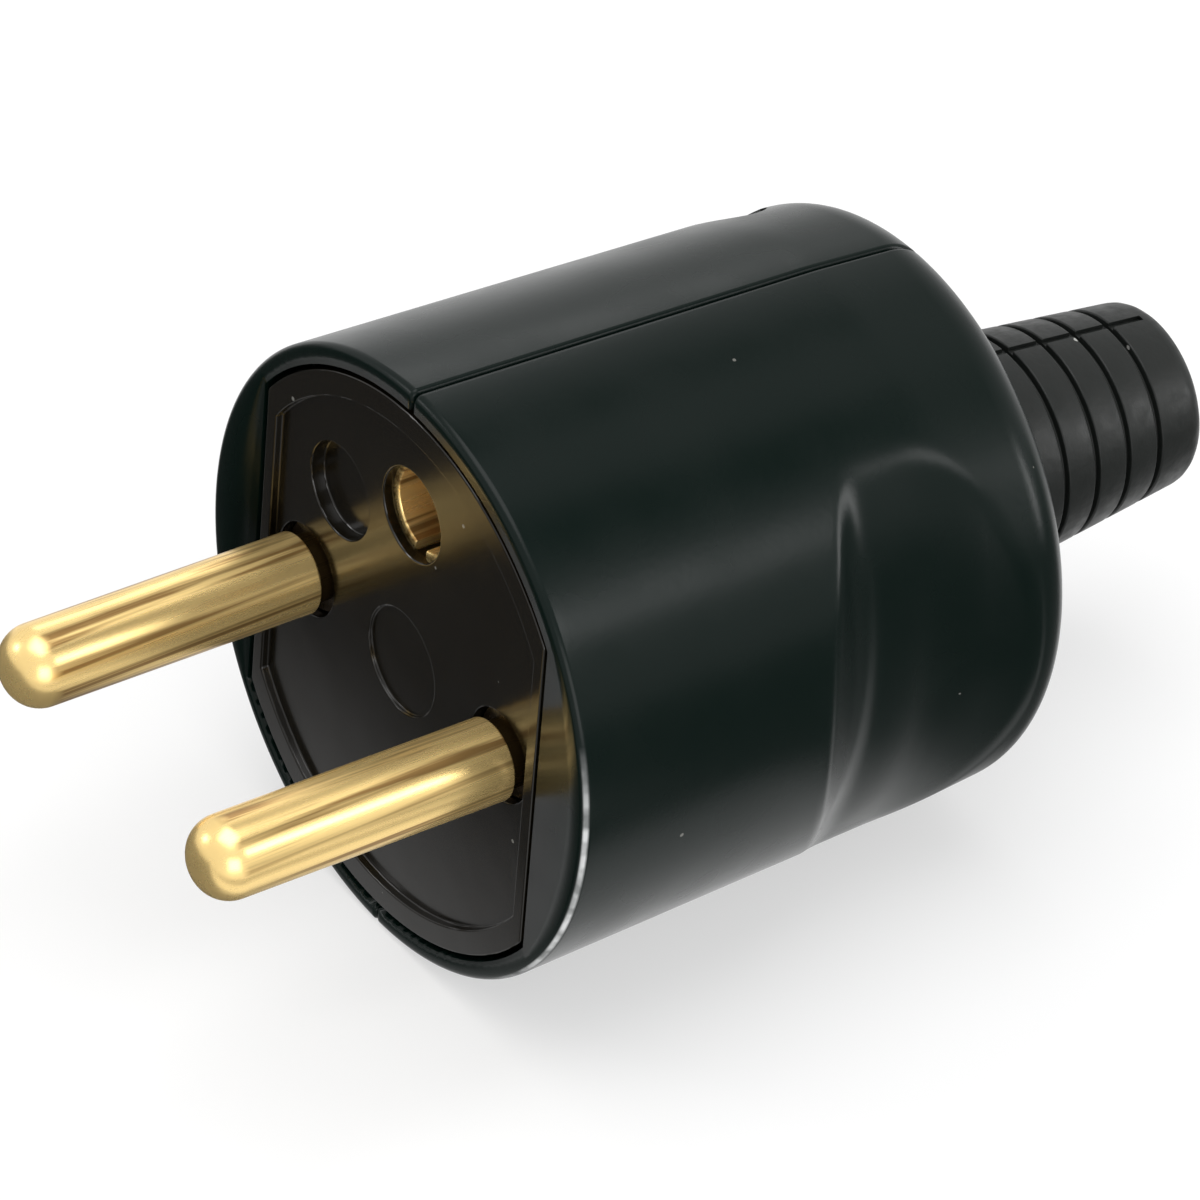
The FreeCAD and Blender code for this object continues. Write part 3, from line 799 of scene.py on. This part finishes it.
@dataclass
class BodyShell:
    """One half of the tapered body, with its thumb recess and the hollow for what it holds."""

    side: Side
    front_radius: float = 18.3
    rear_radius: float = 17.1
    length: float = 34.5
    rim_round: float = 0.5
    shoulder_round: float = 3.2
    packed_shoulder: float = 3.2
    rear_drop: float = 0.35
    rear_drop_start: float = 26.5
    rear_drop_round: float = 25.0
    rim_ledge: float = 0.06
    rear_ledge: float = 0.1
    seam_bevel: float = 0.12
    seam_slot: float = 0.13
    seam_depth: float = 0.3
    recess_front: float = 16.1
    recess_rear: float = 31.9
    recess_ramp: float = 2.4
    rear_ramp: float = 2.4
    recess_depth: float = 1.5
    packed_depth: float = 1.5
    packed_front: float = 16.1
    packed_half_width: float = 13.2
    core: float = 8.0
    skin_margin: float = 0.25
    push: float = 1.0
    pocket_push: float = 3.0
    screw_place: Pair = (28.7, 12.0)
    rear_hole: float = 6.5
    pocket_radius: float = 2.78
    packed_pocket: float = 2.9
    packed_pocket_error: float = 0.15
    pocket_gap: float = 0.05
    pocket_floor: float = 7.0
    pocket_reach: float = 3.3
    recess_half_width: float = 12.9
    ridge_softness: float = 0.25
    foot_softness: float = 0.7
    steps_round: int = 288

    def line(self) -> List[Pair]:
        """Outline of the body from axis to axis as (y, radius).

        Returns:
            The outline's points.
        """
        rear = self.rear_radius - self.rear_drop
        corners = [(0, 0), (0, self.front_radius - self.rim_round - self.rim_ledge),
                   (0, self.front_radius, self.rim_round),
                   (self.rear_drop_start, self.radius(self.rear_drop_start), self.rear_drop_round),
                   (self.length, rear, self.shoulder_round),
                   (self.length, rear - self.shoulder_round - self.rear_ledge), (self.length, 0)]
        spans = [(0.4, 14.5, 0.5), (14.5, 20.5, 0.2), (20.5, 28.0, 0.4), (28.0, 31.4, 0.2)]
        return divided(rounded(corners, 5.0), spans)

    def radius(self, y: float) -> float:
        """Radius of the plain taper."""
        return self.front_radius + (self.rear_radius - self.front_radius) * y / self.length

    def recess_line(self, y: np.ndarray, centre: float) -> np.ndarray:
        """Distance of the recess from its own axis, along the body.

        Args:
            y: Places along the body.
            centre: Place of the recess's axis.

        Returns:
            The distance at each place.
        """
        start, end = self.recess_front, self.recess_rear
        front = self.radius(start) - centre
        floor = self.radius(start + self.recess_ramp) - self.recess_depth - centre
        front_ramp = front + (floor - front) * (y - start) / self.recess_ramp
        rear = self.radius(end) - centre
        rear_floor = self.radius(end - self.rear_ramp) - self.recess_depth - centre
        rear_ramp = rear + (rear_floor - rear) * (end - y) / self.rear_ramp
        slope = (rear_floor - floor) / (end - start - self.recess_ramp - self.rear_ramp)
        bed = floor + slope * (y - start - self.recess_ramp)
        for ramp in (front_ramp, rear_ramp):
            gap = np.clip(1 - np.abs(ramp - bed) / self.foot_softness, 0, None)
            bed = np.maximum(ramp, bed) + gap ** 2 * self.foot_softness / 4
        return bed

    def press_recess(self, piece: bpy.types.Object) -> None:
        """Presses the thumb recess into both sides of the solid body.

        Args:
            piece: The body.
        """
        mesh = piece.data
        place = np.empty(len(mesh.vertices) * 3)
        mesh.vertices.foreach_get("co", place)
        x, y, z = place.reshape(-1, 3).T
        across = self.radius((self.recess_front + self.recess_rear) / 2)
        floor = across - self.recess_depth
        edge = math.sqrt(across ** 2 - self.recess_half_width ** 2)
        centre = (floor + edge) / 2 - self.recess_half_width ** 2 / (2 * (floor - edge))
        reach = self.recess_line(y, centre)
        skin = np.hypot(x, z)
        safe = np.maximum(skin, 1e-6)
        cosine, sine = np.abs(x) / safe, z / safe
        pressed = centre * cosine + np.sqrt(np.clip(reach ** 2 - (centre * sine) ** 2, 0, None))
        gap = np.clip(1 - np.abs(skin - pressed) / self.ridge_softness, 0, None)
        kept = np.minimum(skin, pressed) - gap ** 2 * self.ridge_softness / 4
        scale = np.where(skin > self.core, kept / safe, 1)
        mesh.vertices.foreach_set("co", np.stack([x * scale, y, z * scale], 1).ravel())
        mesh.update()

    def skin(self) -> bpy.types.Object:
        """Solid half of the body with its outer skin and bevelled seam.

        Returns:
            The closed half.
        """
        piece = turned("body", self.line(), self.steps_round)
        self.press_recess(piece)
        activate(piece)
        bpy.ops.object.mode_set(mode="EDIT")
        bpy.ops.mesh.select_all(action="SELECT")
        plane = self.side.value * (self.seam_bevel + self.seam_slot)
        bpy.ops.mesh.bisect(plane_co=(plane, 0, 0), plane_no=(self.side.value, 0, 0), use_fill=True,
                            clear_inner=True, threshold=1e-5)
        bpy.ops.mesh.inset(thickness=self.seam_bevel, depth=self.seam_bevel)
        bpy.ops.mesh.inset(thickness=self.seam_depth, depth=self.seam_slot)
        bpy.ops.object.mode_set(mode="OBJECT")
        return piece

    def hollow(self) -> bpy.types.Object:
        """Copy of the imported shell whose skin, ends and seam are pushed outwards past the new ones.

        Returns:
            The copy.
        """
        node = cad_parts["shell_" + self.side.word]
        mesh = node.data.copy()
        piece = bpy.data.objects.new("hollow", mesh)
        bpy.context.collection.objects.link(piece)
        activate(piece)
        bpy.ops.object.mode_set(mode="EDIT")
        bpy.ops.mesh.select_all(action="SELECT")
        bpy.ops.mesh.remove_doubles(threshold=1e-6)
        bpy.ops.object.mode_set(mode="OBJECT")
        mesh.transform(Matrix.Scale(1 / MM, 4) @ Matrix.Rotation(TAPER, 4, "X"))
        for vertex in mesh.vertices:
            self.push_out(vertex)
        mesh.update()
        return piece

    def push_out(self, vertex: bpy.types.MeshVertex) -> None:
        """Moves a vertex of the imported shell's outside further out.

        Args:
            vertex: The vertex.
        """
        x, y, z = vertex.co
        radius = math.hypot(x, z)
        at_head = math.hypot(y - self.screw_place[0], abs(z) - self.screw_place[1]) < self.pocket_reach
        outside = radius > self.skin_radius(y, z) - self.skin_margin
        if y < NEAR:
            vertex.co.y = -self.push
        elif y > self.length - NEAR:
            vertex.co.y = self.length + self.push
        if outside and at_head and abs(x) > self.pocket_floor + PAST:
            vertex.co.x += self.side.value * self.pocket_push
        elif outside:
            vertex.co.x *= (radius + self.push) / radius
            vertex.co.z *= (radius + self.push) / radius
        if abs(x) < NEAR:
            vertex.co.x = -self.side.value * self.push / 2
        if self.side is Side.LEFT and -x > self.pocket_floor - NEAR:
            self.narrow_pocket(vertex)

    def narrow_pocket(self, vertex: bpy.types.MeshVertex) -> None:
        """Draws a vertex of a screw pocket's wall in, so that the new pocket takes its place.

        Args:
            vertex: The vertex.
        """
        y, z = self.screw_place[0], math.copysign(self.screw_place[1], vertex.co.z)
        off = math.hypot(vertex.co.y - y, vertex.co.z - z)
        if abs(off - self.packed_pocket) < self.packed_pocket_error:
            share = (self.pocket_radius - self.pocket_gap) / off
            vertex.co.y = y + (vertex.co.y - y) * share
            vertex.co.z = z + (vertex.co.z - z) * share

    def skin_radius(self, y: float, z: float) -> float:
        """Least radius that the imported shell's skin has near a place.

        Args:
            y: Place along the body.
            z: Height of the place.

        Returns:
            The radius.
        """
        shoulder = max(0.0, y - (self.length - self.packed_shoulder))
        drop = self.packed_shoulder - math.sqrt(max(0.0, self.packed_shoulder ** 2 - shoulder ** 2))
        recess = self.packed_depth if y > self.packed_front and abs(z) < self.packed_half_width else 0
        return self.radius(y) - max(drop, recess) - (self.rim_round if y < self.rim_round else 0)

    def sharpen_rear_hole(self, piece: bpy.types.Object) -> None:
        """Marks the rim of the hole in the rear face sharp, where the boolean leaves flat slivers.

        Args:
            piece: The shell.
        """
        activate(piece)
        bpy.ops.object.mode_set(mode="EDIT")
        bpy.ops.mesh.select_mode(type="EDGE")
        bpy.ops.mesh.select_all(action="DESELECT")
        bpy.ops.object.mode_set(mode="OBJECT")
        mesh, rear = piece.data, self.length - NEAR
        on_rim = [v.co.y > rear and math.hypot(v.co.x, v.co.z) < self.rear_hole for v in mesh.vertices]
        for edge in mesh.edges:
            edge.select = all(on_rim[k] for k in edge.vertices)
        bpy.ops.object.mode_set(mode="EDIT")
        bpy.ops.mesh.mark_sharp()
        bpy.ops.mesh.select_mode(type="VERT")
        bpy.ops.object.mode_set(mode="OBJECT")

    def build(self, finishes: Finishes) -> None:
        """Models the shell and puts it in place.

        Args:
            finishes: The plug's finishes.
        """
        piece = self.skin()
        combine(piece, [self.hollow()], "INTERSECT")
        if self.side is Side.LEFT:
            y, z = self.screw_place
            for level in Level:
                start = (-self.pocket_floor, y, level.value * z)
                combine(piece, [rod(self.pocket_radius, start, (-self.front_radius, 0, 0), 96)])
        drop_slivers(piece)
        self.sharpen_rear_hole(piece)
        settle(piece, "shell_" + self.side.word, "body_plastic", finishes, flat=True)


@dataclass
class FacePlate:
    """Face plate with two flats, a raised border, its flange and its holes."""

    radius: float = 16.8
    half_flat: float = 13.45
    thickness: float = 3.0
    overlap: float = 0.5
    bevel: float = 0.12
    border: float = 1.5
    flat_border: float = 0.9
    floor: float = 0.5
    flange_radius: float = 16.0
    back: float = 5.0
    pin_places: Pair = (-9.5, 9.5)
    pin_bore: float = 2.75
    shoulder_bore: float = 4.25
    shoulder_front: float = 3.4
    earth_height: float = 10.0
    earth_mouth: float = 2.75
    earth_bore: float = 3.1
    earth_bore_front: float = 1.25
    blind_hole: Tuple[float, float, float, float] = (-6.8, 7.2, 2.85, 0.9)
    mark_radius: float = 3.2
    mark_depth: float = 0.25
    pilot_angles: Tuple[float, ...] = (-90, 42, 138)
    pilot_ring: float = 10.0
    pilot_radius: float = 1.25
    pilot_depth: float = 2.4

    def cutters(self) -> List[bpy.types.Object]:
        """Cutters of the holes, from the front to the back.

        Returns:
            The cutters.
        """
        through = (0, self.back + 2 * PAST, 0)
        shoulder = (self.shoulder_bore, self.shoulder_front)
        holes = [(x, 0, hole) for x in self.pin_places for hole in ((self.pin_bore, -PAST), shoulder)]
        holes += [(0, self.earth_height, hole) for hole in (
            (self.earth_mouth, -PAST), (self.earth_bore, self.earth_bore_front), shoulder)]
        tools = [rod(radius, (x, front, z), through) for x, z, (radius, front) in holes]
        x, z, radius, depth = self.blind_hole
        tools.append(rod(radius, (x, -PAST, z), (0, PAST + self.floor + depth, 0)))
        tools.append(rod(self.mark_radius, (0, -PAST, 0), (0, PAST + self.floor + self.mark_depth, 0)))
        for angle in self.pilot_angles:
            place = Matrix.Rotation(math.radians(angle), 2) @ Vector((self.pilot_ring, 0))
            start = (place.x, self.back - self.pilot_depth, place.y)
            tools.append(rod(self.pilot_radius, start, through, 32))
        return tools

    def build(self, finishes: Finishes) -> None:
        """Models the plate and puts it in place.

        Args:
            finishes: The plug's finishes.
        """
        piece = double_d("plate", self.radius, self.half_flat, 0, self.thickness + self.overlap)
        flange = rod(self.flange_radius, (0, self.thickness, 0), (0, self.back - self.thickness, 0), 160)
        combine(piece, [flange], "UNION")
        field_radius, field_flat = self.radius - self.border, self.half_flat - self.flat_border
        combine(piece, [double_d("cutter", field_radius, field_flat, -PAST, self.floor), *self.cutters()])
        drop_slivers(piece)
        soften(piece, self.bevel, 3)
        settle(piece, "pin_carrier", "plate_plastic", finishes, flat=True)


@dataclass
class ContactPin:
    """Solid turned pin with its neck, collar, shoulder and wire barrel."""

    side: Side
    spacing: float = 19.0
    tip: float = -19.0
    radius: float = 2.4
    tip_round: float = 2.1
    neck_radius: float = 2.0
    neck_end: float = 1.2
    collar_radius: float = 2.7
    shoulder_front: float = 3.4
    shoulder_back: float = 5.0
    shoulder_radius: float = 4.2
    barrel_radius: float = 3.2
    barrel_end: float = 17.0
    wire_bore: float = 1.4
    wire_floor: float = 9.0
    screw_place: float = 13.4
    screw_bore: float = 1.55
    steps_round: int = 128

    def build(self, finishes: Finishes) -> None:
        """Models the pin and puts it in place.

        Args:
            finishes: The plug's finishes.
        """
        x = self.side.value * self.spacing / 2
        corners = [(self.tip, 0), (self.tip, self.radius, self.tip_round), (0, self.radius, 0.12),
                   (0, self.neck_radius), (self.neck_end, self.neck_radius),
                   (self.neck_end, self.collar_radius, 0.1), (self.shoulder_front, self.collar_radius),
                   (self.shoulder_front, self.shoulder_radius, 0.15),
                   (self.shoulder_back, self.shoulder_radius, 0.15), (self.shoulder_back, self.barrel_radius),
                   (self.barrel_end, self.barrel_radius, 0.3), (self.barrel_end, self.wire_bore, 0.2),
                   (self.wire_floor, self.wire_bore), (self.wire_floor, 0)]
        line = divided(rounded(corners, 6.0), [(self.tip + self.tip_round, 0, 1.0)])
        piece = turned("pin", line, self.steps_round, x)
        up = (0, 0, self.barrel_radius + PAST)
        combine(piece, [rod(self.screw_bore, (x, self.screw_place, 0), up, 48)])
        settle(piece, self.side.word + "_pin", "brass", finishes)


@dataclass
class EarthContact:
    """Slit brass sleeve behind the earth hole."""

    height: float = 10.0
    mouth: float = 1.3
    bore: float = 2.45
    bore_end: float = 14.8
    radius: float = 3.05
    flange_front: float = 3.4
    flange_back: float = 5.0
    flange_radius: float = 4.2
    end: float = 19.4
    wire_bore: float = 1.4
    wire_floor: float = 16.0
    slit_half_width: float = 0.5
    slit_end: float = 11.8
    screw_place: float = 17.6
    screw_bore: float = 1.3

    def build(self, finishes: Finishes) -> None:
        """Models the sleeve and puts it in place.

        Args:
            finishes: The plug's finishes.
        """
        corners = [(self.bore_end, 0), (self.bore_end, self.bore), (self.mouth, self.bore, 0.15),
                   (self.mouth, self.radius, 0.15), (self.flange_front, self.radius),
                   (self.flange_front, self.flange_radius, 0.1), (self.flange_back, self.flange_radius, 0.1),
                   (self.flange_back, self.radius), (self.end, self.radius, 0.2),
                   (self.end, self.wire_bore, 0.1), (self.wire_floor, self.wire_bore), (self.wire_floor, 0)]
        piece = turned("sleeve", rounded(corners, 15.0), 96, 0, self.height)
        half, front, reach = self.slit_half_width, self.mouth - PAST, 2 * self.radius
        outline = [(-half, front, self.height - reach), (half, front, self.height - reach),
                   (half, front, self.height + reach), (-half, front, self.height + reach)]
        slit = raised("slit", outline, (0, self.slit_end - front, 0))
        left = (-self.radius - PAST, 0, 0)
        screw_hole = rod(self.screw_bore, (0, self.screw_place, self.height), left, 48)
        combine(piece, [slit, screw_hole])
        settle(piece, "earth_contact", "brass", finishes)


@dataclass
class CableSleeve:
    """Rubber sleeve with ring grooves, held by its flange inside the shells."""

    bore: float = 3.9
    length: float = 34.5
    reach: float = 17.5
    base_radius: float = 7.4
    end_radius: float = 5.4
    end_round: float = 1.3
    groove_pitch: float = 2.4
    groove_width: float = 0.4
    groove_depth: float = 0.5
    grooves: int = 5
    flange_front: float = 30.8
    flange_back: float = 32.1
    flange_radius: float = 8.6
    neck_radius: float = 6.2
    line_half_width: float = 0.22
    line_depth: float = 0.25

    def outside(self, y: float) -> float:
        """Radius of the plain cone."""
        return self.base_radius + (self.end_radius - self.base_radius) * (y - self.length) / self.reach

    def build(self, finishes: Finishes) -> None:
        """Models the sleeve and puts it in place.

        Args:
            finishes: The plug's finishes.
        """
        end = self.length + self.reach
        corners: List[Corner] = [(self.flange_front, self.bore), (self.flange_front, self.flange_radius, 0.3),
                                 (self.flange_back, self.flange_radius, 0.15),
                                 (self.flange_back, self.neck_radius), (self.length, self.neck_radius),
                                 (self.length, self.base_radius, 0.15)]
        last = end - self.end_round - self.groove_pitch
        half = self.groove_width / 2
        for k in reversed(range(self.grooves)):
            y = last - k * self.groove_pitch
            low = self.outside(y) - self.groove_depth
            corners += [(y - half, self.outside(y - half), 0.12), (y - half, low, 0.08),
                        (y + half, low, 0.08), (y + half, self.outside(y + half), 0.12)]
        corners += [(end, self.outside(end), self.end_round), (end, self.bore, 0.3), corners[0]]
        piece = turned("sleeve", rounded(corners, 15.0), 160)
        for level in Level:
            y0, y1 = self.length - 0.2, end - self.end_round
            low0, low1 = self.outside(y0) - self.line_depth, self.outside(y1) - self.line_depth
            side = -self.line_half_width
            outline = [(side, y0, level.value * low0), (side, y0, level.value * (low0 + 1)),
                       (side, y1, level.value * (low1 + 1)), (side, y1, level.value * low1)]
            combine(piece, [raised("line", outline, (-2 * side, 0, 0))])
        settle(piece, "cable_sleeve", "sleeve_rubber", finishes)


@dataclass
class InnerWorks:
    """Pieces inside the shells and the shells' screws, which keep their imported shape."""

    steel: Tuple[str, ...] = ("left_terminal_screw", "right_terminal_screw", "earth_terminal_screw",
                              "earth_spring_ring", "block_screw_lower", "block_screw_left",
                              "block_screw_right", "shell_screw_upper", "shell_screw_lower",
                              "clamp_screw_upper", "clamp_screw_lower", "clamp_nut_upper", "clamp_nut_lower")
    brass: Tuple[str, ...] = ("shell_insert_upper", "shell_insert_lower")
    plastic: Tuple[str, ...] = ("terminal_block", "cord_clamp_bar")

    def build(self, finishes: Finishes) -> None:
        """Dresses each node with its finish.

        Args:
            finishes: The plug's finishes.
        """
        for slot, names in (("steel", self.steel), ("brass", self.brass), ("block_plastic", self.plastic)):
            for name in names:
                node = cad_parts[name]
                for holder in node.material_slots:
                    holder.material = finishes[slot]
                log.info("%s: %s", name, finishes[slot].name)


# Studio


@dataclass(frozen=True)
class Softbox:
    """Large soft lamp, placed by its direction from the plug."""

    name: str
    azimuth: float
    elevation: float
    size: Pair
    brightness: float
    distance: float = 1.0
    aim: Point = (0, 0.015, 0)

    def build(self) -> None:
        """Adds the lamp, facing the plug."""
        a, e = math.radians(self.azimuth), math.radians(self.elevation)
        back = Vector((math.sin(a) * math.cos(e), -math.cos(a) * math.cos(e), math.sin(e)))
        lamp = bpy.data.lights.new(self.name, "AREA")
        lamp.shape = "RECTANGLE"
        lamp.size, lamp.size_y = self.size
        lamp.energy = self.brightness * math.pi * self.size[0] * self.size[1]
        holder = bpy.data.objects.new(self.name, lamp)
        holder.location = Vector(self.aim) + back * self.distance
        holder.rotation_mode = "QUATERNION"
        holder.rotation_quaternion = (-back).to_track_quat("-Z", "Y")
        bpy.context.collection.objects.link(holder)


@dataclass(frozen=True)
class Card:
    """Round patch of the surroundings with a level of its own, placed by its direction."""

    direction: Point
    inner: float
    outer: float
    level: float

    def lay(self, surface: Surface, around: bpy.types.NodeSocket, level: object) -> bpy.types.NodeSocket:
        """Puts the card over the level of the surroundings.

        Args:
            surface: The world's node tree.
            around: Direction that is looked in.
            level: Level without the card.

        Returns:
            Level with the card.
        """
        middle = tuple(Vector(self.direction).normalized())
        off = surface.add("ShaderNodeVectorMath", {0: around, 1: middle}, operation="DISTANCE")
        share = surface.falling(off.outputs["Value"], self.inner, self.outer)
        mixed = surface.add("ShaderNodeMix", {0: share, 2: level, 3: self.level})
        return mixed.outputs[0]


@dataclass
class Studio:
    """White floor, pale surroundings, soft lamps and the camera, in metres.

    The floor's level in reflections changes over the pairs.
    """

    floor_radius: float = 3.0
    surroundings: float = 0.85
    cards: Tuple[Card, ...] = (
        Card((0.36, 0.464, 0.80), 0.14, 0.26, 0.05),
        Card((-0.33, 0.464, 0.82), 0.08, 0.22, 0.2),
    )
    dark_floor: float = 0.08
    right_floor: float = 0.2
    bright_floor: float = 1.0
    under_right: Pair = (0.030, 0.037)
    under_rear: Pair = (0.025, 0.032)
    left_side: Pair = (0.006, 0.014)
    far_right: Pair = (0.043, 0.055)
    far_rear: Pair = (0.022, 0.028)
    band_slope: float = 0.92
    band_start: float = 0.017
    band_width: Pair = (0.002, 0.004)
    lit_rear: Pair = (-0.012, 0.006)
    lit_right: Pair = (0.014, 0.020)
    lens: float = 285.506
    camera_place: Point = (0.33214, -0.23069, 0.32631)
    camera_right: Point = (0.566, 0.82342, 0.04058)
    camera_up: Point = (-0.53102, 0.32642, 0.78202)
    lamps: Tuple[Softbox, ...] = (
        Softbox("softbox_back_right", 122.7, 31, (0.26, 0.20), 5.0),
        Softbox("softbox_back_left", -121, 29, (0.30, 0.25), 1.6),
        Softbox("softbox_strip", 146, 9, (0.12, 0.50), 10.0),
        Softbox("softbox_left", -45, 28, (0.22, 0.22), 5.0),
        Softbox("softbox_front", 68, 9, (0.6, 0.7), 2.6),
        Softbox("softbox_over", 20, 86, (0.8, 0.8), 2.5),
    )

    def floor(self) -> None:
        """Adds the floor under the lowest point of the plug."""
        start_clean()
        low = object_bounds()[0].z
        bpy.ops.mesh.primitive_circle_add(vertices=96, radius=self.floor_radius, fill_type="NGON",
                                          location=(0, 0, low))
        floor = bpy.context.object
        floor.name = floor.data.name = "floor"
        bpy.ops.object.transform_apply(location=True)
        material = bpy.data.materials.new("white_floor")
        material.use_nodes = True
        tree = material.node_tree
        surface = Surface(tree)
        shader = tree.nodes["Principled BSDF"]
        shader.inputs["Base Color"].default_value = (0.85, 0.85, 0.85, 1)
        shader.inputs["Roughness"].default_value = 0.9
        shader.inputs["Specular IOR Level"].default_value = 0.0
        path = surface.add("ShaderNodeLightPath")
        glow = surface.add("ShaderNodeEmission", {"Color": (1, 1, 1, 1), "Strength": 1.0})
        share = surface.math("MULTIPLY", path.outputs["Is Camera Ray"], 0.5)
        seen = surface.add("ShaderNodeMixShader", {0: share, 1: shader.outputs[0], 2: glow.outputs[0]})
        level = self.mirrored_floor(surface)
        mirrored = surface.add("ShaderNodeEmission", {"Color": (1, 1, 1, 1), "Strength": level})
        glossy = path.outputs["Is Glossy Ray"]
        mix = surface.add("ShaderNodeMixShader", {0: glossy, 1: seen.outputs[0], 2: mirrored.outputs[0]})
        tree.links.new(mix.outputs[0], tree.nodes["Material Output"].inputs["Surface"])
        floor.data.materials.append(material)
        floor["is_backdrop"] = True

    def mirrored_floor(self, surface: Surface) -> bpy.types.NodeSocket:
        """Level of the floor in reflections.

        It is bright under the plug, to its left, far to its right and along a band that the
        recess's foot mirrors, dim to its rear right and dark in front of its face.

        Args:
            surface: The floor's node tree.

        Returns:
            The level, at most that of white.
        """
        place = surface.add("ShaderNodeSeparateXYZ", {0: surface.place})
        x, y = place.outputs[0], place.outputs[1]
        under = surface.product(surface.falling(x, *self.under_right), surface.falling(y, *self.under_rear))
        left = surface.falling(x, *self.left_side)
        right = surface.product(surface.between(x, *self.far_right), surface.falling(y, *self.far_rear))
        slant = surface.math("SUBTRACT", y, surface.math("MULTIPLY", x, self.band_slope))
        across = surface.math("SUBTRACT", slant, self.band_start)
        band = surface.falling(surface.math("ABSOLUTE", across), *self.band_width)
        share = surface.greatest(under, left, right, band)
        level = surface.between(share, 0, 1, self.right_floor, self.bright_floor)
        lit = surface.greatest(surface.between(y, *self.lit_rear), surface.between(x, *self.lit_right), right)
        return surface.add("ShaderNodeMix", {0: lit, 2: self.dark_floor, 3: level}).outputs[0]

    def world(self) -> None:
        """Gives the world its white background and its pale light."""
        world = bpy.data.worlds.new("surroundings")
        world.use_nodes = True
        bpy.context.scene.world = world
        tree = world.node_tree
        surface = Surface(tree)
        path = surface.add("ShaderNodeLightPath")
        around = surface.add("ShaderNodeTexCoord").outputs["Generated"]
        level: object = self.surroundings
        for card in self.cards:
            level = card.lay(surface, around, level)
        seen = surface.add("ShaderNodeMix", {0: path.outputs["Is Camera Ray"], 2: level, 3: 1.0})
        tree.links.new(seen.outputs[0], tree.nodes["Background"].inputs["Strength"])
        tree.nodes["Background"].inputs["Color"].default_value = (1, 1, 1, 1)

    def camera(self) -> None:
        """Adds the camera at the photograph's place."""
        data = bpy.data.cameras.new("camera")
        data.lens, data.sensor_width = self.lens, 36.0
        data.clip_start, data.clip_end = 0.01, 10.0
        holder = bpy.data.objects.new("camera", data)
        right = Vector(self.camera_right).normalized()
        back = right.cross(Vector(self.camera_up)).normalized()
        turn = Matrix((right, back.cross(right), back)).transposed().to_4x4()
        holder.matrix_world = Matrix.Translation(self.camera_place) @ turn
        bpy.context.collection.objects.link(holder)
        bpy.context.scene.camera = holder

    def build(self) -> None:
        """Builds the studio."""
        self.floor()
        self.world()
        for lamp in self.lamps:
            lamp.build()
        self.camera()
        bpy.context.scene.view_settings.view_transform = "Standard"


def main() -> None:
    """Builds the plug's looks in order."""
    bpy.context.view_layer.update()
    finishes = Finishes()
    finishes.build()
    BodyShell(Side.LEFT).build(finishes)
    BodyShell(Side.RIGHT, recess_front=16.9, recess_ramp=3.4, rear_ramp=5.5, recess_depth=1.9).build(finishes)
    FacePlate().build(finishes)
    for side in Side:
        ContactPin(side).build(finishes)
    EarthContact().build(finishes)
    CableSleeve().build(finishes)
    InnerWorks().build(finishes)
    Studio().build()


if __name__ == "__main__":
    main()
